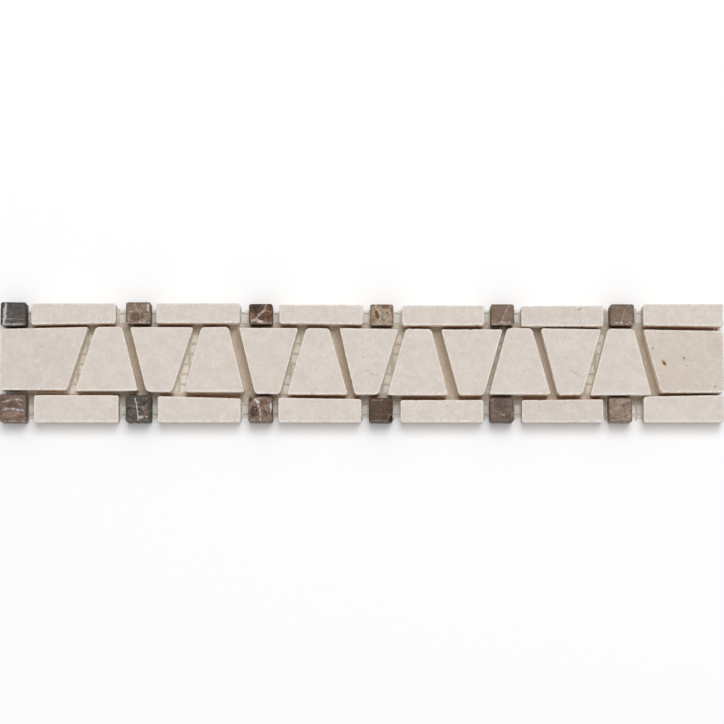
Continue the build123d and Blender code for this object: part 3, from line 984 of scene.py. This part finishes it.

# Squares: darkest and lightest tone of the ground, the vein net (cell size, share shown, tone), the wear
# (how strong the grain is, how pale the lower arris), and the marks, placed from the square's middle
# The paleness of the lower arris is bruising together with a painted highlight
SQUARES = {
    "top_square_1": ((70, 64, 61), (94, 87, 83), (4.0, 0.3, (134, 128, 124)), (0.4, 0.85), [
        patch(-2.2, -0.2, 0.9, 4.0, 0, (106, 94, 86), 0.5),
        line([(-1.0, 1.2), (-1.2, -4.0)], 0.4, (122, 115, 110), 0.6, 0.4),
        line([(-3.2, -2.1), (0.6, -2.0), (4.4, -2.3)], 0.5, (160, 156, 152), 0.9, 0.5),
        patch(-3.6, 0.2, 0.7, 6.0, -5, (196, 200, 202), 0.85, 1.5),
        line([(-4.0, -4.3), (0.0, -4.4), (4.0, -4.3)], 0.9, (200, 199, 196), 0.9, 0.4),
    ]),
    "top_square_2": ((116, 97, 82), (146, 129, 115), (3.0, 0.5, (170, 155, 142)), (1.0, 0.8), [
        patch(-4.0, 3.6, 1.7, 1.3, 0, (136, 104, 78), 0.6),
        patch(-1.3, -1.6, 2.2, 2.0, 0, (102, 83, 69), 0.9, 0.6),
        patch(1.8, -1.3, 0.5, 1.2, 0, (98, 77, 62), 0.9, 0.5),
        line([(-4.0, -3.2), (-4.1, -1.3), (-3.2, 0.5), (-0.8, 1.3), (0.5, 0.3)],
             0.6, (196, 184, 174), 1.0, 0.4),
        line([(-1.3, 3.8), (-0.8, 1.3)], 0.5, (182, 168, 156), 0.9, 0.5),
        line([(0.5, 0.3), (2.6, -0.5), (4.2, -1.8)], 0.45, (176, 161, 148), 0.8, 0.5),
        patch(4.1, 2.4, 0.45, 1.9, 0, (200, 198, 194), 0.9, 0.4),
        patch(0.8, -3.8, 0.5, 0.4, 0, (212, 205, 198), 1.0, 0.5),
    ]),
    "top_square_3": ((84, 62, 50), (122, 95, 77), (2.6, 0.6, (186, 166, 150)), (1.1, 0.8), [
        patch(-2.0, 2.5, 2.9, 2.3, 0, (60, 48, 42), 1.0, 0.8),
        patch(3.9, 2.9, 0.9, 1.5, 0, (80, 55, 41), 0.9, 0.7),
        patch(2.6, -0.8, 2.0, 2.0, 0, (94, 67, 51), 0.95, 0.8),
        patch(-4.1, -0.8, 1.0, 1.3, 0, (154, 114, 86), 0.8),
        line([(2.4, 4.2), (1.4, 1.6), (-0.5, -0.3), (-2.0, -1.7)], 0.7, (212, 196, 182), 1.0, 0.5),
        line([(1.4, 1.6), (4.3, 0.8)], 0.45, (186, 164, 146), 0.8, 0.5),
        patch(-2.4, -2.7, 2.0, 0.7, 0, (186, 179, 171), 0.9, 1.2),
        patch(-0.3, -3.2, 0.9, 0.5, 0, (228, 224, 218), 1.0, 0.7),
        line([(-0.3, -2.8), (2.5, -3.2)], 0.5, (194, 180, 168), 0.9, 0.6),
    ]),
    "top_square_4": ((133, 111, 93), (169, 150, 133), (2.2, 0.7, (206, 193, 180)), (1.1, 0.75), [
        patch(1.3, 0.0, 1.7, 2.2, 0, (164, 154, 130), 0.7, 1.2),
        patch(-2.0, 0.0, 0.75, 2.1, 15, (98, 68, 48), 1.0, 0.5),
        patch(-3.9, -1.3, 0.8, 1.8, 15, (142, 98, 69), 0.95, 0.6),
        patch(1.6, 3.5, 1.9, 0.9, 0, (114, 82, 62), 0.95, 0.8),
        patch(4.2, 1.3, 0.5, 1.5, 0, (140, 103, 78), 0.8, 0.6),
        patch(-4.0, 3.4, 1.0, 0.8, 0, (150, 116, 91), 0.7, 0.7),
        line([(-2.9, 3.4), (-0.8, 0.8), (-0.5, -2.4)], 0.55, (212, 200, 187), 1.0, 0.5),
        line([(2.9, 2.6), (3.7, -1.3)], 0.45, (208, 196, 183), 0.8, 0.5),
    ]),
    "top_square_5": ((113, 93, 79), (137, 118, 103), (4.5, 0.25, (158, 142, 129)), (0.4, 0.7), [
        patch(-3.7, 0.8, 1.2, 2.5, 0, (118, 93, 74), 0.5, 1.0),
        patch(-3.9, -2.9, 1.4, 0.8, 0, (148, 116, 91), 0.6, 0.8),
        line([(3.0, 4.2), (1.3, 1.3), (0.4, -0.8), (-0.3, -3.2)], 0.5, (182, 169, 157), 0.8, 0.5),
        patch(-0.4, -3.2, 0.6, 0.4, 0, (210, 202, 194), 0.8, 0.8),
        patch(2.9, -3.1, 0.5, 0.4, 0, (196, 186, 176), 0.7, 0.8),
        patch(1.0, -3.4, 0.9, 0.35, 0, (188, 175, 163), 0.7, 0.6),
    ]),
    "top_square_6": ((113, 93, 79), (137, 118, 103), (4.5, 0.25, (158, 142, 129)), (0.4, 0.7), [
        patch(-3.6, 0.4, 1.1, 2.6, 0, (120, 96, 78), 0.5, 1.0),
        line([(2.9, 4.0), (1.1, 1.8), (0.5, -0.8), (-0.3, -3.2)], 0.5, (182, 169, 157), 0.8, 0.5),
        patch(-2.4, -3.3, 0.9, 0.35, 0, (198, 186, 174), 0.8, 0.6),
        patch(-0.3, -3.3, 0.55, 0.4, 0, (210, 202, 194), 0.8, 0.8),
        patch(3.2, -3.0, 0.4, 0.4, 0, (200, 190, 180), 0.8, 0.5),
    ]),
    "bottom_square_1": ((102, 81, 68), (133, 112, 99), (3.4, 0.4, (166, 148, 136)), (0.85, 0.65), [
        patch(-1.0, 1.3, 3.6, 0.9, 0, (96, 73, 60), 0.7, 1.8),
        patch(-0.3, -2.9, 4.4, 1.5, 0, (146, 122, 104), 0.5, 2.4),
        line([(-4.4, 2.5), (-1.5, 3.2), (1.6, 3.8), (3.6, 3.3)], 0.75, (186, 186, 187), 0.9, 0.7),
        line([(1.6, 3.7), (2.4, 1.6), (3.8, 1.3)], 0.45, (182, 174, 168), 0.8, 0.4),
        line([(-4.4, -0.4), (-0.5, -0.3), (4.0, -0.9)], 1.0, (182, 186, 190), 0.95, 0.7),
        line([(-1.8, -3.6), (0.6, -3.2), (2.4, -1.8), (4.0, -3.4)], 0.45, (182, 162, 146), 0.7, 0.4),
    ]),
    "bottom_square_2": ((64, 59, 55), (96, 89, 83), (2.6, 0.5, (150, 138, 127)), (0.9, 0.25), [
        patch(3.2, 2.8, 1.2, 1.0, 0, (52, 46, 42), 0.7, 1.2),
        line([(-5.1, 1.9), (-3.1, 1.4), (-1.2, 0.7)], 0.45, (156, 146, 137), 0.8, 0.8),
        line([(-4.6, -1.4), (-3.0, -2.6), (-1.0, -3.4)], 0.4, (132, 124, 116), 0.7, 1.0),
        line([(-1.4, 4.4), (-0.8, 1.8), (-0.4, -1.0), (-0.2, -4.6)], 0.7, (216, 215, 211), 1.0, 0.7),
        line([(-0.5, 0.3), (1.1, 0.9), (2.6, 0.7), (4.6, 1.8)], 0.45, (172, 158, 146), 0.6, 1.4),
        patch(2.2, 0.1, 0.8, 0.5, 20, (150, 128, 108), 0.6, 2.2),
        line([(1.6, 0.9), (2.4, -0.9), (3.8, -2.8)], 0.45, (176, 142, 112), 0.7, 1.4),
        patch(1.6, -1.9, 0.6, 0.4, -30, (120, 104, 92), 0.7, 1.6),
        patch(2.7, -2.6, 1.5, 0.9, 30, (124, 100, 82), 0.7, 2.6),
        patch(1.0, -3.7, 1.2, 0.45, 15, (208, 198, 188), 0.85, 2.2),
        patch(3.4, -3.6, 0.6, 0.4, 0, (200, 180, 160), 0.8, 1.4),
    ]),
    "bottom_square_3": ((105, 85, 73), (143, 124, 112), (2.6, 0.6, (188, 172, 160)), (1.0, 0.2), [
        patch(-2.8, -1.1, 2.0, 2.7, 0, (72, 55, 47), 1.0, 1.2),
        patch(-4.0, 3.8, 1.0, 1.1, 0, (88, 65, 54), 0.95, 0.6),
        patch(1.4, 3.1, 1.7, 1.3, 0, (112, 84, 70), 0.9, 0.7),
        patch(2.3, -1.1, 1.3, 2.0, 0, (94, 72, 60), 0.9, 1.4),
        line([(-0.2, 4.6), (-2.3, 4.3), (-4.5, 1.8)], 0.55, (206, 193, 182), 0.95, 0.4),
        line([(-2.3, 4.3), (-1.3, 2.6), (-0.4, 0.0), (0.0, -4.6)], 0.7, (220, 213, 206), 1.0, 0.4),
        line([(-0.3, 0.2), (2.3, 1.3), (3.6, 1.8)], 0.5, (192, 175, 163), 0.8, 0.5),
        patch(4.3, 0.7, 0.5, 2.2, 0, (194, 199, 202), 0.95, 0.6),
        patch(-1.4, 3.4, 1.1, 0.7, -40, (222, 214, 206), 0.9, 1.6),
    ]),
    "bottom_square_4": ((75, 56, 44), (97, 76, 63), (5.0, 0.2, (122, 99, 84)), (0.5, 0.35), [
        line([(-2.5, -1.4), (0.2, -2.0), (3.3, -1.7)], 0.4, (126, 101, 84), 0.7, 0.6),
        line([(-3.7, 4.4), (-1.2, 4.1), (1.0, 4.3)], 0.6, (172, 158, 146), 0.7, 1.2),
        line([(2.7, -4.2), (3.4, -2.6), (4.6, -1.9)], 0.45, (176, 160, 146), 0.8, 0.4),
    ]),
    "bottom_square_5": ((92, 77, 67), (121, 104, 92), (3.6, 0.3, (146, 130, 117)), (0.7, 0.2), [
        patch(0.0, 2.0, 2.7, 2.0, 0, (94, 80, 73), 0.8, 0.8),
        patch(-3.7, -2.5, 1.3, 1.3, 0, (134, 113, 97), 0.6, 1.0),
        line([(-4.0, 2.7), (-3.2, 0.1), (-0.8, -1.7), (1.8, -1.7), (3.7, 0.1)],
             0.6, (150, 134, 121), 0.6, 1.6),
        patch(0.8, -2.2, 0.8, 0.3, 0, (172, 159, 147), 0.8, 0.9),
        line([(4.4, -0.8), (4.2, -3.4)], 0.4, (158, 142, 128), 0.7, 0.4),
    ]),
    "bottom_square_6": ((125, 106, 90), (161, 144, 129), (2.0, 0.4, (182, 166, 152)), (0.9, 0.2), [
        line([(1.2, 1.7), (3.4, 3.4)], 0.5, (110, 89, 75), 0.8, 0.6),
        patch(1.2, 1.7, 0.75, 0.9, 0, (98, 78, 65), 0.9, 0.8),
        patch(-3.1, -3.5, 1.2, 0.45, 0, (94, 70, 54), 0.8, 0.9),
        patch(3.9, -3.1, 0.4, 0.4, 0, (178, 132, 95), 0.9, 0.5),
        patch(-1.9, -3.3, 0.35, 0.3, 0, (172, 128, 92), 0.9, 0.5),
    ]),
}


def lay_stones(plans):
    """Every stone on its node, with its own finish."""
    for place, node in enumerate(plans):
        seed = STONE_SEED_STEP * (place + 1)
        stone = tumbled_stone(node, plans, seed)
        if node in SQUARES:
            dark, light, net, wear, marks = SQUARES[node]
            low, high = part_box(node)
            centre = ((low + high) / 2 / MM).to_tuple()[:2]
            material = marble_square(f"marble_{node}", seed, centre, (dark, light), net, wear, marks)
        else:
            tone = CREAM_TONES.get(node, CREAM)
            material = cream_stone(f"cream_{node}", seed, tone, CREAM_MARKS.get(node, []))
        stone.data.materials.append(material)


def lay_mesh(plans):
    """Both halves of the mesh, and the glue on it."""
    finish = yarn_finish()
    for seed, node in enumerate(("backing_mesh_left", "backing_mesh_right"), MESH_SEED):
        woven_mesh(node, plans, seed).data.materials.append(finish)
    glue_film(plans).data.materials.append(glue_finish())


# Floor, light and camera

def floor():
    """A wide white floor: what looks at it directly sees it a little lighter, with the shadow kept."""
    mesh = bpy.data.meshes.new("floor")
    ways = ((-1, -1), (1, -1), (1, 1), (-1, 1))
    corners = [(x * FLOOR_REACH, y * FLOOR_REACH, -FLOOR_DROP) for x, y in ways]
    mesh.from_pydata(corners, [], [(0, 1, 2, 3)])
    ground = bpy.data.objects.new("floor", mesh)
    bpy.context.scene.collection.objects.link(ground)
    material = bpy.data.materials.new("white_floor")
    material.use_nodes = True
    sheet = Sheet(material.node_tree)
    shader = material.node_tree.nodes["Principled BSDF"].inputs
    shader["Base Color"].default_value = (0.98, 0.98, 0.98, 1.0)
    shader["Roughness"].default_value = 0.9
    shader["Specular IOR Level"].default_value = 0.0
    ray = sheet.tree.nodes.new("ShaderNodeLightPath").outputs
    seen = sheet.math("MAXIMUM", ray["Is Camera Ray"], ray["Is Glossy Ray"])
    seen = sheet.math("MAXIMUM", seen, ray["Is Transmission Ray"])
    shader["Emission Color"].default_value = (1.0, 1.0, 1.0, 1.0)
    sheet.feed(shader["Emission Strength"], sheet.times(seen, FLOOR_GLOW))
    mesh.materials.append(material)


def light():
    """An even white surround and one large soft lamp from the top of the picture, a little to the right."""
    world = bpy.data.worlds.new("surround")
    bpy.context.scene.world = world
    world.use_nodes = True
    background = world.node_tree.nodes["Background"].inputs
    background["Color"].default_value = (1.0, 1.0, 1.0, 1.0)
    background["Strength"].default_value = WORLD_SHARE
    lamp = bpy.data.lights.new("soft_lamp", "AREA")
    lamp.shape = "DISK"
    lamp.size = LAMP_SIZE
    lamp.energy = (1 - WORLD_SHARE) * np.pi ** 2 * LAMP_DISTANCE ** 2 / np.sin(LAMP_HEIGHT)
    place = bpy.data.objects.new("soft_lamp", lamp)
    flat = np.cos(LAMP_HEIGHT)
    away = Vector((np.sin(LAMP_AZIMUTH) * flat, np.cos(LAMP_AZIMUTH) * flat, np.sin(LAMP_HEIGHT)))
    place.location = away * LAMP_DISTANCE
    place.rotation_euler = away.to_track_quat("Z", "Y").to_euler()
    bpy.context.scene.collection.objects.link(place)


def camera():
    """Nearly straight above the middle of the tile, from a little below it in the picture."""
    lens = bpy.data.cameras.new("camera")
    lens.sensor_width = SENSOR / MM
    lens.lens = SENSOR / MM * CAMERA_DISTANCE / PHOTO_SIDE
    lens.clip_start, lens.clip_end = CAMERA_CLIP
    view = bpy.data.objects.new("camera", lens)
    away = Vector((0.0, -np.sin(CAMERA_LEAN), np.cos(CAMERA_LEAN)))
    view.location = Vector((0.0, 0.0, CAD_BOX[1][2])) + away * CAMERA_DISTANCE
    view.rotation_euler = (CAMERA_LEAN, 0.0, 0.0)
    bpy.context.scene.collection.objects.link(view)
    bpy.context.scene.camera = view


GROUPS = (group_mottle, group_specks, group_pores, group_vein, group_patch, group_net, group_wear_and_painted_light)
for make_group in GROUPS:
    make_group()
stone_plans = {node: plan_corners(node) for node in stone_nodes()}
lay_stones(stone_plans)
lay_mesh(stone_plans)
floor()
light()
camera()
bpy.context.scene.view_settings.view_transform = "Standard"
